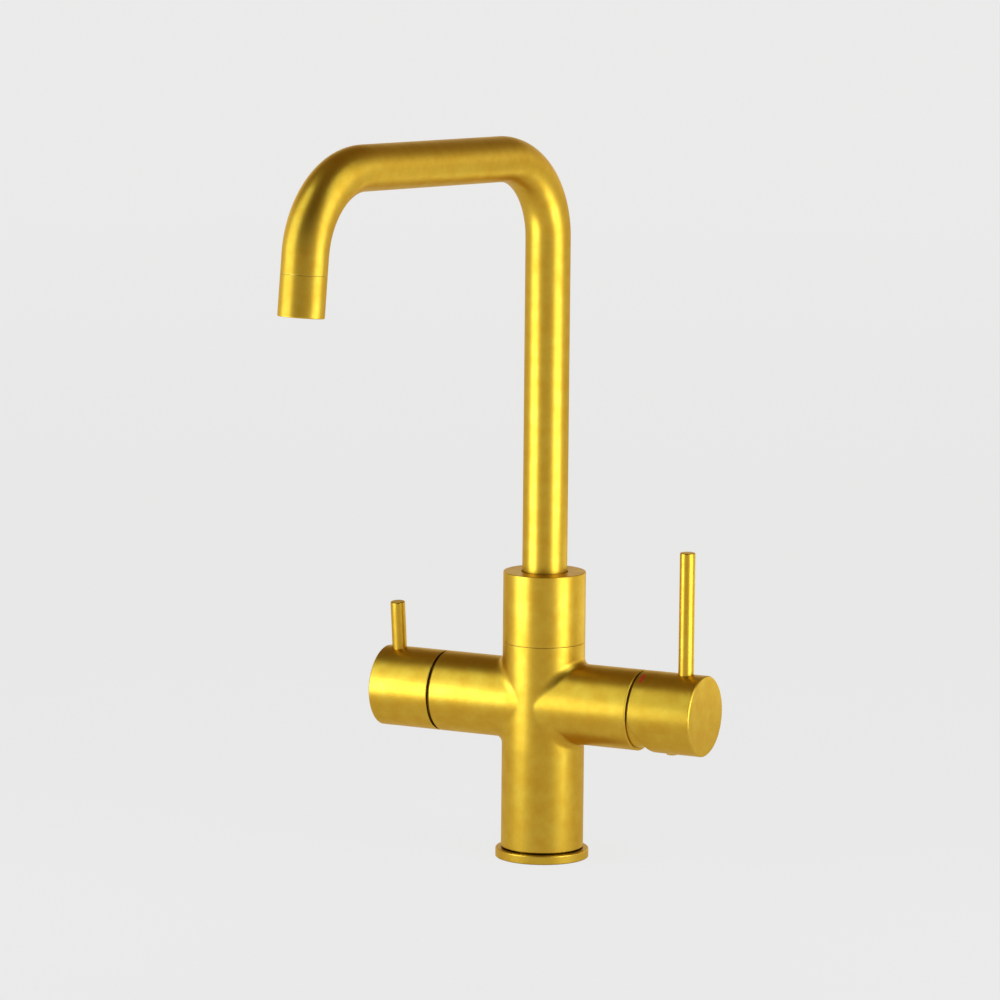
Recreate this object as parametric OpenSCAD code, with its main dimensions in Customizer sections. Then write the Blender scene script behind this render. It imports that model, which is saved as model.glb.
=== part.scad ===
/* [Body] */
// How far the upright column and its collar stand out past the arms
column_step = 0.5; // [0:0.1:1.5]
// Wall of an arm around the nut of its cartridge
arm_wall = 2.8; // [2.3:0.1:2.8]
// Height of the arms' axis above the worktop
arm_z = 86.5; // [80:0.5:90]
// Distance from the column's axis to the end of each arm
arm_reach = 59.5; // [58:0.5:66]
// Height of the joint line under the collar
seam_z = 119.2; // [118:0.1:126]
// Length of the collar that holds the spout down
collar_h = 38.8; // [34:0.1:46]
// Radius of the collar's soft upper edge
collar_edge_r = 0.5; // [0.4:0.1:2]
// Chamfer that turns every fine joint line into a visible one
line_chamfer = 0.2; // [0.1:0.05:0.4]

/* [Base] */
// How far the base ring stands out past the column
base_step = 3; // [2:0.1:5.5]
// Height of the base ring
base_ring_h = 5; // [4:0.5:8]
// Radius of the base ring's upper edge
base_ring_edge_r = 0.8; // [0.5:0.1:2]
// Height of the dark groove between base ring and column
shadow_gap = 0.8; // [0.6:0.1:2]
// Diameter of the foot of the body inside the base ring
foot_d = 38; // [37:0.5:40]
// Thickness of the rubber gasket under the base ring
gasket_t = 1.5; // [1:0.1:2.5]
// Distance between the two fixing studs
stud_pitch = 28; // [26:0.5:29]
// Tapping bore of a fixing stud
stud_bore_d = 6.8; // [5:0.1:6.8]
// Depth of a stud hole
stud_depth = 16; // [10:1:24]
// Tapping bore of a hose socket
hose_bore_d = 9; // [8.5:0.1:9]
// Depth of a hose socket
hose_depth = 13; // [10:1:18]

/* [Spout] */
// Outer diameter of the spout tube
tube_d = 24.5; // [24:0.1:26]
// Wall of the spout tube
tube_wall = 1.5; // [1.2:0.1:1.8]
// Height at which the riser starts to bend
riser_top = 340; // [260:1:400]
// Centreline radius of both bends
bend_r = 46; // [36:1:60]
// Angle of the bend on top of the riser
bend_one = 88; // [80:1:90]
// Angle of the bend towards the outlet
bend_two = 86; // [80:1:92]
// Straight length of the top run
top_run = 118.8; // [60:0.2:160]
// Straight length of the outlet leg, sleeve included
outlet_leg = 32; // [28:0.5:70]
// Length of the outlet sleeve
sleeve_h = 22; // [20:0.5:26]
// How far the spout stands turned to the left of straight ahead
spout_turn = 10; // [-30:1:30]
// Outer diameter of the boiling water tube inside the spout
boiling_tube_d = 8; // [7:0.1:8.4]
// Wall of the boiling water tube
boiling_tube_wall = 1; // [0.6:0.1:1.5]

/* [Swivel] */
// Diameter of the spout's spigot in the body
spigot_d = 24; // [22:0.5:24]
// Length of the spigot below its flange
spigot_h = 30; // [26:0.5:30]
// Diameter of the spout's flange under the collar
flange_d = 35; // [34.5:0.1:35.4]
// Height of the spout's flange
flange_h = 4; // [3.5:0.1:5]
// Thickness of each sliding washer
washer_t = 1; // [0.6:0.1:1.5]
// Diameter of the pin that stops the swivel
stop_pin_d = 3; // [2:0.1:3]
// Swivel to the left of straight ahead
swivel_left = 90; // [30:5:120]
// Swivel to the right of straight ahead
swivel_right = 90; // [30:5:120]

/* [Mixer side] */
// Length of the mixer handle
mixer_handle_l = 36.3; // [32:0.1:46]
// Open gap between an arm and its handle
handle_gap = 1.5; // [1.2:0.1:2]
// Height of the slanted relief's upper end below the arm's axis
relief_drop = 2.8; // [1:0.1:4]
// Slant of the relief at the handle's rear, from upright
relief_angle = 26; // [24:1:32]
// Diameter of the long lever
mixer_lever_d = 8.4; // [7:0.1:9]
// How far the long lever stands out of its handle
mixer_lever_h = 66.5; // [40:0.5:90]
// Distance from the handle's end face to the long lever
mixer_lever_inset = 11.8; // [9:0.1:13]
// Diameter of the plug over the grub screw
plug_d = 6.2; // [5.6:0.1:7]
// How far the plug stands proud
plug_proud = 0.7; // [0.2:0.1:1.2]
// Width of a temperature mark
mark_w = 1.5; // [1:0.1:3]
// Arc that a temperature mark covers
mark_arc = 18; // [10:1:30]
// Angle from the top of the handle to the nearer end of a mark
mark_start = 17; // [8:1:40]
// Diameter of the mixing cartridge
cartridge_d = 35; // [34.5:0.1:35.2]
// Height from the cartridge's seat to the end of the arm
cartridge_depth = 27.5; // [27.5:0.1:29]
// How far the dome under the mixer handle lies below the arm's surface
dome_drop = 1.2; // [0.7:0.1:1.2]

/* [Boiling side] */
// Length of the boiling handle
boiling_handle_l = 35.5; // [32:0.1:46]
// Diameter of the short lever
boiling_lever_d = 8; // [7:0.1:9]
// How far the short lever stands out of its handle
boiling_lever_h = 26.2; // [14:0.1:50]
// Distance from the handle's end face to the short lever
boiling_lever_inset = 9.1; // [7:0.1:10]
// How far the short lever leans to the front when shut
boiling_lean = 6; // [0:1:15]
// Diameter of the valve's threaded bush
bush_d = 20.8; // [20:0.1:22]
// Width across the flats of the valve's hexagon
hexagon_af = 24; // [22:0.5:25]

/* [Fits] */
// Radial clearance of a turning or sliding fit
running_fit = 0.1; // [0.05:0.01:0.15]
// Radial clearance of a screwed or pushed-in piece
seat_fit = 0.05; // [0.02:0.01:0.1]
// Play along the axis of a turning piece
axial_play = 0.1; // [0.05:0.01:0.2]

/* [Hidden] */

$fn = 96;
gold = [0.83, 0.66, 0.12];
brass = [0.72, 0.60, 0.32];
steel = [0.72, 0.73, 0.75];
rubber = [0.12, 0.12, 0.12];
acetal = [0.90, 0.90, 0.88];
ceramic = [0.96, 0.94, 0.88];
hot_red = [0.80, 0.08, 0.10];
cold_blue = [0.10, 0.25, 0.75];
past = 1; // how far a cut runs past the face it opens

// Base
nut_step = 1.7;
nut_d = cartridge_d + 2 * nut_step;
arm_d = nut_d + 2 * arm_wall;
column_d = arm_d + 2 * column_step;
base_ring_d = column_d + 2 * base_step;
column_z = base_ring_h + shadow_gap;
foot_step = 1.5;
shadow_d = foot_d + 2 * foot_step;
base_bore_d = foot_d + 2 * seat_fit;
gasket_lip = 1.5;
gasket_rim = 2;
gasket_id = base_bore_d + 2 * gasket_lip;
gasket_od = base_ring_d - 2 * gasket_rim;
hose_x = 7.5; // hot and cold sockets stand either side of the centre
waterway_d = 6;

// Swivel, from the shoulder under the collar upwards
neck_d = 38;
neck_h = 21.8;
neck_top = seam_z + neck_h;
collar_seal_lift = 3; // from the seam up to the groove round the neck
collar_seal_z = seam_z + collar_seal_lift;
flange_z = neck_top + washer_t + axial_play;
tube_z = flange_z + flange_h;
chamber_top = tube_z + axial_play + washer_t;
flange_gap = 0.3;
chamber_d = flange_d + 2 * flange_gap;
collar_top = seam_z + collar_h;
riser_gap = 0.4;
riser_hole_d = tube_d + 2 * riser_gap;
socket_d = spigot_d + 2 * running_fit;
spigot_z = flange_z - spigot_h;
socket_floor_gap = 2;
socket_z = spigot_z - socket_floor_gap;
spigot_bore_d = 17;
first_seal_h = 6;
seal_pitch = 10;
tube_id = tube_d - 2 * tube_wall;
tube_seat_h = 11;
boiling_bore_d = boiling_tube_d + 2 * running_fit;
boiling_bore_h = 7;
tube_end_gap = 0.5;
boiling_tube_z = socket_z - boiling_bore_h + tube_end_gap;
stop_r = 14.8;
stop_hole_h = 7;
stop_slot_h = 2.5;
stop_slot_gap = 0.3;
stop_slot_w = stop_pin_d + 2 * stop_slot_gap;
stop_play = 0.25;
stop_half_angle = asin((stop_pin_d / 2 + stop_play) / stop_r);
swivel_min = spout_turn - swivel_left;
swivel_max = spout_turn + swivel_right;

// O-rings: section and the small space left round them
seal_s = 2;
small_seal_s = 1.5;
seal_space = 0.03;
groove_w = 2.6;
small_groove_w = 2;

// Bends: a touch thicker than the straights, which reach a little way into them
bend_swell = 0.04;
bend_lap = 0.5;

// Outlet, along the leg from where the tube ends
leg_tube = outlet_leg - sleeve_h;
sleeve_seat_h = 7;
sleeve_bore_d = 17.4;
aerator_wall = 1.65;
aerator_d = tube_d - 2 * aerator_wall;
aerator_h = 10;
aerator_z = sleeve_h - aerator_h;
aerator_washer_w = 2.5;
aerator_recess = 0.6;
aerator_seal_t = 1.5;
sleeve_edge_r = 0.6;
screen_wall = 1.6;
screen_d = aerator_d - 2 * screen_wall;
screen_h = 2.5;
screen_lip = 1.8;
nozzle_wall = 0.9;
nozzle_d = boiling_tube_d + 2 * nozzle_wall;
nozzle_tail = 4;
nozzle_z = aerator_z - nozzle_tail;
nozzle_seat_h = 8;
nozzle_seat = nozzle_z + nozzle_seat_h;
nozzle_tube_gap = 0.2;

// Mixer side, all distances along the right arm from the column's axis
pivot_depth = 3.5;
pivot_x = arm_reach - pivot_depth;
cart_seat_x = arm_reach - cartridge_depth;
cart_base_h = 6;
disc_x = cart_seat_x + cart_base_h;
fixed_disc_h = 3.5;
sliding_disc_x = disc_x + fixed_disc_h + axial_play / 2;
sliding_disc_h = 3;
sliding_disc_d = 21;
carrier_h = 3.4;
carrier_x = sliding_disc_x + sliding_disc_h;
ball_d = 4;
ball_gap = 0.15; // between the ball and the floor of its socket
ball_play = 0.2;
socket_wall = 0.6;
// From the pivot down to the ball in the carrier
ball_arm = pivot_x - carrier_x - socket_wall - ball_gap - ball_d / 2;
stem_neck_d = 3;
turret_foot = 7.7;
turret_x = pivot_x - turret_foot;
turret_flange_h = 3;
housing_wall = 3.5;
housing_bore_d = cartridge_d - 2 * housing_wall;
turret_gap = 0.3;
turret_flange_d = housing_bore_d - 2 * turret_gap;
turret_d = 21.6;
turret_head = 4;
turret_top_x = pivot_x + turret_head;
housing_lip_x = turret_x + turret_flange_h + turret_gap;
nut_depth = 4.5;
nut_x = arm_reach - nut_depth;
nut_h = 2.5;
nut_bore_d = 24;
dome_wall = 3.2;
dome_hole_r = 12;
dome_play = 0.5;
port_y = 9;
port_z = 5.2;
mixed_y = -7;
port_d = 5;
port_seal_w = 1.8;
port_seal_t = 1.2;
port_seal_gap = 0.05;
port_seal_bore = 5.4;
mixed_x = 4.5;
stem_w = 7;
stem_h = 8;
pin_d = 3;
dome_r = arm_d / 2 - dome_drop;
mixer_handle_x = arm_reach + handle_gap;
mixer_reach = mixer_handle_x + mixer_handle_l;
mixer_lever_x = mixer_reach - mixer_lever_inset;
plug_inset = 19.4;
plug_x = mixer_reach - plug_inset;
stem_inset = 9.3;
stem_end_x = mixer_reach - stem_inset;
plug_depth = 6;
screw_tilt = 20; // leans away from the dome, so that the screw clears it when the handle lifts
mixer_screw_l = 8;
screw_tip_gap = 0.05;
lever_seat = 3; // how deep a lever's rod stands in its handle
lever_thread_d = 5;
lever_thread_h = 8;
lever_edge_r = 0.6;
tip_room = 0.5; // left free beyond the end of a stem, a thread or an adapter
edge_chamfer = 0.4;
handle_rim = 0.6;
mark_inset = 2.3;
mark_x = mixer_handle_x + mark_inset;
mark_depth = 0.5;
mark_proud = 0.05;

// Boiling side, all distances along the left arm from the column's axis
seat_depth = 33.5;
seat_x = arm_reach - seat_depth;
seat_seal_h = 2.5;
bush_x = seat_x + seat_seal_h;
bush_step = 1.5;
bush_body_d = bush_d - 2 * bush_step;
bush_shoulder_depth = 7.5;
bush_shoulder_x = arm_reach - bush_shoulder_depth;
bush_gallery_l = 11.5; // narrow part of the bush, with the windows
bush_thread_x = bush_x + bush_gallery_l;
bush_washer_t = 1;
hexagon_x = bush_shoulder_x + bush_washer_t;
hexagon_h = 5;
hexagon_room = 3; // for a socket wrench round the hexagon
valve_bore_d = 14;
valve_bore_h = 9.5;
window_w = 7;
window_h = 5;
window_x = 3; // from the bush's inner end
valve_disc_h = 2.5;
shaft_d = 8.8;
shaft_bore_d = shaft_d + 2 * running_fit;
return_z = 9; // height of the boiling return over the arm's axis
return_d = 5;
return_reach = 8; // how far the return runs past the valve's seat
valve_disc_x = bush_x + valve_disc_h + axial_play / 2;
spindle_x = valve_disc_x + valve_disc_h;
spindle_foot_h = 4;
spindle_seal_depth = 4;
clip_gap = 0.2;
clip_x = hexagon_x + hexagon_h + clip_gap;
clip_t = 0.7;
spline_out = 1; // how far the spline starts past the arm's end
spline_x = arm_reach + spline_out;
spline_h = 9;
spline_teeth = 20;
adapter_d = 18;
adapter_lead = 0.3;
adapter_x = spline_x - adapter_lead;
adapter_web_gap = 0.2;
adapter_web_x = spline_x + spline_h + adapter_web_gap;
adapter_h = 15.5;
adapter_web_t = 1.8;
adapter_screw_d = 4;
adapter_screw_gap = 0.2;
adapter_screw_l = 9.5;
screw_head_d = 7;
screw_head_h = 2.8;
screw_head_gap = 0.5;
screw_key_d = 3.4;
screw_key_depth = 1.5;
boiling_handle_x = arm_reach + handle_gap;
boiling_reach = boiling_handle_x + boiling_handle_l;
glide_gap = 0.3;
glide_drop = 1.8;
glide_x = arm_reach + glide_gap;
boiling_lever_x = boiling_reach - boiling_lever_inset;
boiling_end_wall = 13.5;
boiling_pocket_x = boiling_reach - boiling_end_wall;
boiling_hub_d = 26;
boiling_shell = 3;
boiling_grub_inset = 8.5;
boiling_grub_proud = 1;
boiling_grub_x = boiling_handle_x + boiling_grub_inset;
grub_d = 4;

handle_d = arm_d;

// Points of an arc, for the corner of a turned outline
function arc(cx, cy, r, from, to, steps = 8) =
    [for (i = [0 : steps]) let (a = from + (to - from) * i / steps) [cx + r * cos(a), cy + r * sin(a)]];

module ring(od, id, h) {
    linear_extrude(h) difference() {
        circle(d = od);
        circle(d = id);
    }
}

module o_ring(centre_r, s) {
    rotate_extrude() translate([centre_r, 0]) circle(d = s, $fn = 32);
}

// A rod with a chamfer at both ends
module chamfered_rod(d, h, c_low, c_high) {
    r = d / 2;
    rotate_extrude() polygon([[0, 0], [r - c_low, 0], [r, c_low], [r, h - c_high], [r - c_high, h], [0, h]]);
}

// Local Z runs out along the right arm, local X points down
module on_mixer_side(x) {
    translate([x, 0, arm_z]) rotate([0, 90, 0]) children();
}

// Local Z runs out along the left arm, local X points up
module on_boiling_side(x) {
    translate([-x, 0, arm_z]) rotate([0, -90, 0]) children();
}

// Turns a piece of the boiling handle to its place when shut
module boiling_rest() {
    translate([0, 0, arm_z]) rotate([boiling_lean, 0, 0]) translate([0, 0, -arm_z]) children();
}

// Upright from the arm's axis, over a place along the arm
module above_arm(x) {
    translate([x, 0, arm_z]) children();
}

module body() {
    color(gold) difference() {
        body_casting();
        body_waterways();
        body_chambers();
        body_fixings();
    }
}

module body_casting() {
    cylinder(d = foot_d, h = base_ring_h);
    translate([0, 0, base_ring_h]) cylinder(d = shadow_d, h = shadow_gap);
    translate([0, 0, column_z]) chamfered_rod(column_d, seam_z - column_z, line_chamfer, line_chamfer);
    difference() {
        translate([0, 0, seam_z]) cylinder(d = neck_d, h = neck_top - seam_z);
        translate([0, 0, collar_seal_z])
            ring(neck_d + past, neck_d - 2 * small_seal_s - 4 * seal_space, small_groove_w);
    }
    translate([-arm_reach, 0, arm_z]) rotate([0, 90, 0])
        chamfered_rod(arm_d, 2 * arm_reach, edge_chamfer, edge_chamfer);
}

// Hot and cold rise behind, boiling rises in the middle, mixed water rises in front
module body_waterways() {
    for (side = [-1, 1]) {
        translate([side * hose_x, port_y, hose_depth - past])
            cylinder(d = waterway_d, h = arm_z - side * port_z - hose_depth + past);
        translate([side * hose_x, port_y, arm_z - side * port_z]) rotate([0, 90, 0])
            cylinder(d = waterway_d, h = cart_seat_x - side * hose_x + past);
    }
    translate([0, 0, hose_depth - past]) cylinder(d = waterway_d, h = arm_z - hose_depth + past);
    translate([0, 0, arm_z]) rotate([0, -90, 0]) cylinder(d = waterway_d, h = seat_x + past);
    translate([0, 0, arm_z + return_z]) rotate([0, -90, 0]) cylinder(d = return_d, h = seat_x + return_reach);
    translate([0, 0, arm_z + return_z]) cylinder(d = return_d, h = socket_z - arm_z - return_z);
    translate([mixed_x, mixed_y, arm_z]) cylinder(d = port_d, h = socket_z - arm_z + past);
    translate([mixed_x, mixed_y, arm_z]) rotate([0, 90, 0])
        cylinder(d = port_d, h = cart_seat_x - mixed_x + past);
}

// Cartridge cavity, valve cavity and spout socket
module body_chambers() {
    on_mixer_side(cart_seat_x) cylinder(d = cartridge_d + 2 * running_fit, h = cartridge_depth + past);
    on_mixer_side(nut_x) cylinder(d = nut_d + 2 * seat_fit, h = arm_reach - nut_x + past);
    on_boiling_side(seat_x) cylinder(d = bush_d + 2 * seat_fit, h = arm_reach - seat_x + past);
    on_boiling_side(bush_shoulder_x)
        cylinder(d = hexagon_af + 2 * hexagon_room, h = arm_reach - bush_shoulder_x + past);
    translate([0, 0, socket_z]) cylinder(d = socket_d, h = neck_top - socket_z + past);
    translate([0, 0, socket_z - boiling_bore_h]) cylinder(d = boiling_bore_d, h = boiling_bore_h + past);
    translate([0, 0, socket_z - boiling_bore_h / 2 - small_groove_w / 2])
        cylinder(d = boiling_tube_d + 2 * small_seal_s + 4 * seal_space, h = small_groove_w);
}

// Sockets for the hoses, holes for the studs and the hole of the stop pin
module body_fixings() {
    for (place = [[-hose_x, port_y], [hose_x, port_y], [0, 0]])
        translate([place[0], place[1], -past]) cylinder(d = hose_bore_d, h = hose_depth + past);
    for (side = [-1, 1])
        translate([side * stud_pitch / 2, 0, -past]) cylinder(d = stud_bore_d, h = stud_depth + past);
    translate([0, stop_r, neck_top - stop_hole_h]) cylinder(d = stop_pin_d, h = stop_hole_h + past);
}

module base_ring() {
    r = base_ring_d / 2;
    color(gold) difference() {
        rotate_extrude() polygon(concat(
            [[base_bore_d / 2, 0], [r - line_chamfer, 0], [r, line_chamfer]],
            arc(r - base_ring_edge_r, base_ring_h - base_ring_edge_r, base_ring_edge_r, 0, 90),
            [[base_bore_d / 2, base_ring_h]]));
        translate([0, 0, -past]) ring(gasket_od, gasket_id, gasket_t + past);
    }
}

module base_gasket() {
    color(rubber) ring(gasket_od - 2 * seat_fit, gasket_id + 2 * seat_fit, gasket_t);
}

module collar() {
    r = column_d / 2;
    hole_r = riser_hole_d / 2;
    thread_r = neck_d / 2 + seat_fit;
    step_z = neck_top + axial_play;
    color(gold) rotate_extrude() polygon(concat(
        [[thread_r, seam_z], [r - line_chamfer, seam_z], [r, seam_z + line_chamfer]],
        arc(r - collar_edge_r, collar_top - collar_edge_r, collar_edge_r, 0, 90),
        [[hole_r + line_chamfer, collar_top], [hole_r, collar_top - line_chamfer], [hole_r, chamber_top],
            [chamber_d / 2, chamber_top], [chamber_d / 2, step_z], [thread_r, step_z]]));
}

module collar_seal() {
    color(rubber) translate([0, 0, collar_seal_z + small_groove_w / 2])
        o_ring(neck_d / 2 - small_seal_s / 2 - seal_space, small_seal_s);
}

module boiling_tube_seal() {
    color(rubber) translate([0, 0, socket_z - boiling_bore_h / 2])
        o_ring(boiling_tube_d / 2 + small_seal_s / 2 + seal_space, small_seal_s);
}

module lower_washer() {
    color(acetal) translate([0, 0, neck_top]) difference() {
        ring(flange_d, socket_d, washer_t);
        translate([0, stop_r, -past]) cylinder(d = stop_pin_d + 2 * running_fit, h = washer_t + 2 * past);
    }
}

module upper_washer() {
    color(acetal) translate([0, 0, chamber_top - washer_t]) ring(flange_d, riser_hole_d, washer_t);
}

module swivel_stop_pin() {
    length = stop_hole_h + washer_t + axial_play + stop_slot_h - stop_slot_gap;
    color(steel) translate([0, stop_r, neck_top - stop_hole_h]) cylinder(d = stop_pin_d - 2 * seat_fit, h = length);
}

// The spout's own frame: it goes towards -Y, turned by its resting angle
module spout_frame() {
    rotate([0, 0, -spout_turn]) children();
}

// Carries what follows past a bend
module past_bend(angle) {
    translate([0, -bend_r * (1 - cos(angle)), bend_r * sin(angle)]) rotate([angle, 0, 0]) children();
}

module bent_rod(d, angle) {
    translate([0, -bend_r, 0]) rotate([90, 0, 90])
        rotate_extrude(angle = angle) translate([bend_r, 0]) circle(d = d);
}

// A rod from a given height through both bends and a given way down the outlet leg
module spout_rod(d, from_z, leg) {
    translate([0, 0, from_z]) cylinder(d = d, h = riser_top + bend_lap - from_z);
    translate([0, 0, riser_top]) {
        bent_rod(d + bend_swell, bend_one);
        past_bend(bend_one) {
            translate([0, 0, -bend_lap]) cylinder(d = d, h = top_run + 2 * bend_lap);
            translate([0, 0, top_run]) {
                bent_rod(d + bend_swell, bend_two);
                past_bend(bend_two) translate([0, 0, -bend_lap]) cylinder(d = d, h = leg + bend_lap);
            }
        }
    }
}

module spout_pipe(od, id, from_z, leg) {
    difference() {
        spout_rod(od, from_z, leg);
        spout_rod(id, from_z - past, leg + past);
    }
}

// The end of the outlet leg's tube, local Z runs out of the outlet
module at_outlet() {
    spout_frame() translate([0, 0, riser_top]) past_bend(bend_one)
        translate([0, 0, top_run]) past_bend(bend_two) translate([0, 0, leg_tube]) children();
}

module spout_tube() {
    color(gold) spout_frame() spout_pipe(tube_d, tube_id, tube_z, leg_tube);
}

module spout_spigot() {
    r = spigot_d / 2;
    bore_r = spigot_bore_d / 2;
    tip_r = tube_id / 2 - seat_fit;
    color(brass) difference() {
        rotate_extrude() polygon([
            [bore_r, spigot_z], [r - edge_chamfer, spigot_z], [r, spigot_z + edge_chamfer], [r, flange_z],
            [flange_d / 2, flange_z], [flange_d / 2, tube_z], [tip_r, tube_z], [tip_r, tube_z + tube_seat_h],
            [bore_r, tube_z + tube_seat_h]]);
        for (z = spigot_seal_heights())
            translate([0, 0, z - groove_w / 2])
                ring(spigot_d + past, socket_d - 2 * seal_s - 4 * seal_space, groove_w);
        translate([0, 0, flange_z - past]) rotate([0, 0, 90 - swivel_max - stop_half_angle])
            rotate_extrude(angle = swivel_max - swivel_min + 2 * stop_half_angle)
                translate([stop_r - stop_slot_w / 2, 0]) square([stop_slot_w, stop_slot_h + past]);
    }
}

function spigot_seal_heights() = [spigot_z + first_seal_h, spigot_z + first_seal_h + seal_pitch];

module spigot_seals() {
    color(rubber) for (z = spigot_seal_heights())
        translate([0, 0, z]) o_ring(socket_d / 2 - seal_s / 2 - seal_space, seal_s);
}

module boiling_tube() {
    id = boiling_tube_d - 2 * boiling_tube_wall;
    color(steel) spout_frame()
        spout_pipe(boiling_tube_d, id, boiling_tube_z, leg_tube + nozzle_seat - nozzle_tube_gap);
}

module outlet_sleeve() {
    r = tube_d / 2;
    tip_r = tube_id / 2 - seat_fit;
    mouth_r = aerator_d / 2 + seat_fit;
    color(gold) at_outlet() rotate_extrude() polygon(concat(
        [[sleeve_bore_d / 2, -sleeve_seat_h], [tip_r, -sleeve_seat_h], [tip_r, 0], [r - line_chamfer, 0],
            [r, line_chamfer]],
        arc(r - sleeve_edge_r, sleeve_h - sleeve_edge_r, sleeve_edge_r, 0, 90),
        [[mouth_r, sleeve_h], [mouth_r, aerator_z], [sleeve_bore_d / 2, aerator_z]]));
}

module aerator_washer() {
    color(rubber) at_outlet() translate([0, 0, aerator_z])
        ring(aerator_d, aerator_d - 2 * aerator_washer_w, aerator_seal_t);
}

module aerator_housing() {
    from = aerator_z + aerator_seal_t;
    to = sleeve_h - aerator_recess;
    lip_w = 0.8;
    key_w = 1.6;
    key_l = 0.9;
    key_depth = 0.8;
    color(brass) at_outlet() difference() {
        translate([0, 0, from]) cylinder(d = aerator_d, h = to - from);
        translate([0, 0, from - past]) cylinder(d = screen_d, h = to - screen_lip - from + past);
        translate([0, 0, from]) cylinder(d = screen_d - 2 * lip_w, h = to - from + past);
        for (a = [0 : 90 : 270]) rotate([0, 0, a + 45])
            translate([aerator_d / 2 - key_l, -key_w / 2, to - key_depth])
                cube([past + key_l, key_w, key_depth + past]);
    }
}

module aerator_screen() {
    z = sleeve_h - aerator_recess - screen_lip - screen_h;
    spray_d = 1.5;
    color(steel) at_outlet() translate([0, 0, z]) difference() {
        cylinder(d = screen_d - 2 * seat_fit, h = screen_h);
        translate([0, 0, -past]) cylinder(d = nozzle_d + 2 * seat_fit, h = screen_h + 2 * past);
        for (a = [0 : 30 : 330]) rotate([0, 0, a])
            translate([(nozzle_d + screen_d) / 4, 0, -past]) cylinder(d = spray_d, h = screen_h + 2 * past);
    }
}

module boiling_nozzle() {
    r = nozzle_d / 2;
    tube_r = boiling_tube_d / 2 + seat_fit;
    top = sleeve_h - aerator_recess;
    mouth_r = 2.2;
    taper_w = 1;
    taper_h = 1.2;
    color(steel) at_outlet() rotate_extrude() polygon([
        [tube_r, nozzle_z], [r, nozzle_z], [r, top - taper_h], [r - taper_w, top], [mouth_r, top],
        [mouth_r, nozzle_seat], [tube_r, nozzle_seat]]);
}

// Places of the cartridge's ports: hot, cold and mixed
function ports() = [[-port_z, port_y], [port_z, port_y], [0, mixed_y]];

module cartridge_base() {
    color(acetal) on_mixer_side(cart_seat_x) difference() {
        cylinder(d = cartridge_d, h = cart_base_h);
        for (p = ports()) translate([p[0], p[1], -past]) {
            cylinder(d = port_d, h = cart_base_h + 2 * past);
            cylinder(d = port_d + 2 * port_seal_w, h = port_seal_t + past);
        }
    }
}

module port_seals() {
    od = port_d + 2 * (port_seal_w - port_seal_gap);
    color(rubber) on_mixer_side(cart_seat_x) for (p = ports())
        translate([p[0], p[1], 0]) ring(od, port_seal_bore, port_seal_t);
}

module fixed_disc() {
    color(ceramic) on_mixer_side(disc_x) difference() {
        cylinder(d = housing_bore_d - 2 * running_fit, h = fixed_disc_h);
        for (p = ports()) translate([p[0], p[1], -past]) cylinder(d = port_d, h = fixed_disc_h + 2 * past);
    }
}

module cartridge_housing() {
    lip = nut_x - housing_lip_x;
    color(acetal) on_mixer_side(disc_x) difference() {
        cylinder(d = cartridge_d, h = nut_x - disc_x);
        translate([0, 0, -past]) cylinder(d = housing_bore_d, h = nut_x - disc_x - lip + past);
        cylinder(d = turret_d + 2 * running_fit, h = nut_x - disc_x + past);
    }
}

module retaining_nut() {
    key_w = 4;
    key_l = 3;
    key_depth = 1.2;
    color(brass) on_mixer_side(nut_x) difference() {
        ring(nut_d, nut_bore_d, nut_h);
        for (a = [0 : 90 : 270]) rotate([0, 0, a])
            translate([nut_bore_d / 2 - past, -key_w / 2, nut_h - key_depth])
                cube([key_l + past, key_w, key_depth + past]);
    }
}

module dome_cover() {
    lap = 0.5; // the foot reaches this far into the dome
    color(gold) on_mixer_side(pivot_x) difference() {
        union() {
            intersection() {
                sphere(r = dome_r);
                translate([0, 0, arm_reach - pivot_x]) cylinder(r = dome_r, h = dome_r);
            }
            translate([0, 0, nut_x + nut_h - pivot_x])
                cylinder(d = nut_d, h = arm_reach - nut_x - nut_h + lap);
        }
        sphere(r = dome_r - dome_wall);
        cylinder(r = dome_hole_r, h = dome_r + past);
    }
}

module turret() {
    slot_z = 15;
    tooth_w = 2.2;
    tooth_l = 8;
    tooth_y = 11.9;
    tooth_gap = 0.3;
    color(acetal) on_mixer_side(turret_x) difference() {
        union() {
            cylinder(d = turret_flange_d, h = turret_flange_h);
            cylinder(d = turret_d, h = turret_top_x - turret_x);
            for (side = [-1, 1])
                translate([-tooth_l / 2, side * tooth_y - tooth_w / 2, carrier_x + tooth_gap - turret_x])
                    cube([tooth_l, tooth_w, turret_x - carrier_x]);
        }
        translate([-slot_z / 2, -stem_w / 2 - running_fit, -past])
            cube([slot_z, stem_w + 2 * running_fit, turret_top_x - turret_x + 2 * past]);
        translate([0, turret_d / 2 + past, pivot_x - turret_x]) rotate([90, 0, 0])
            cylinder(d = pin_d + 2 * seat_fit, h = turret_d + 2 * past);
    }
}

module pivot_pin() {
    recess = 0.8;
    length = turret_d - 2 * recess;
    color(steel) on_mixer_side(pivot_x) translate([0, length / 2, 0]) rotate([90, 0, 0])
        cylinder(d = pin_d, h = length);
}

module sliding_disc() {
    mixing_d = 14;
    mixing_depth = 1.6;
    color(ceramic) on_mixer_side(sliding_disc_x) difference() {
        cylinder(d = sliding_disc_d, h = sliding_disc_h);
        translate([0, 0, -past]) cylinder(d = mixing_d, h = mixing_depth + past);
    }
}

module disc_carrier() {
    color(acetal) on_mixer_side(carrier_x) difference() {
        cylinder(d = sliding_disc_d, h = carrier_h);
        translate([0, 0, socket_wall]) cylinder(d = ball_d + 2 * ball_play, h = carrier_h);
    }
}

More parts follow.
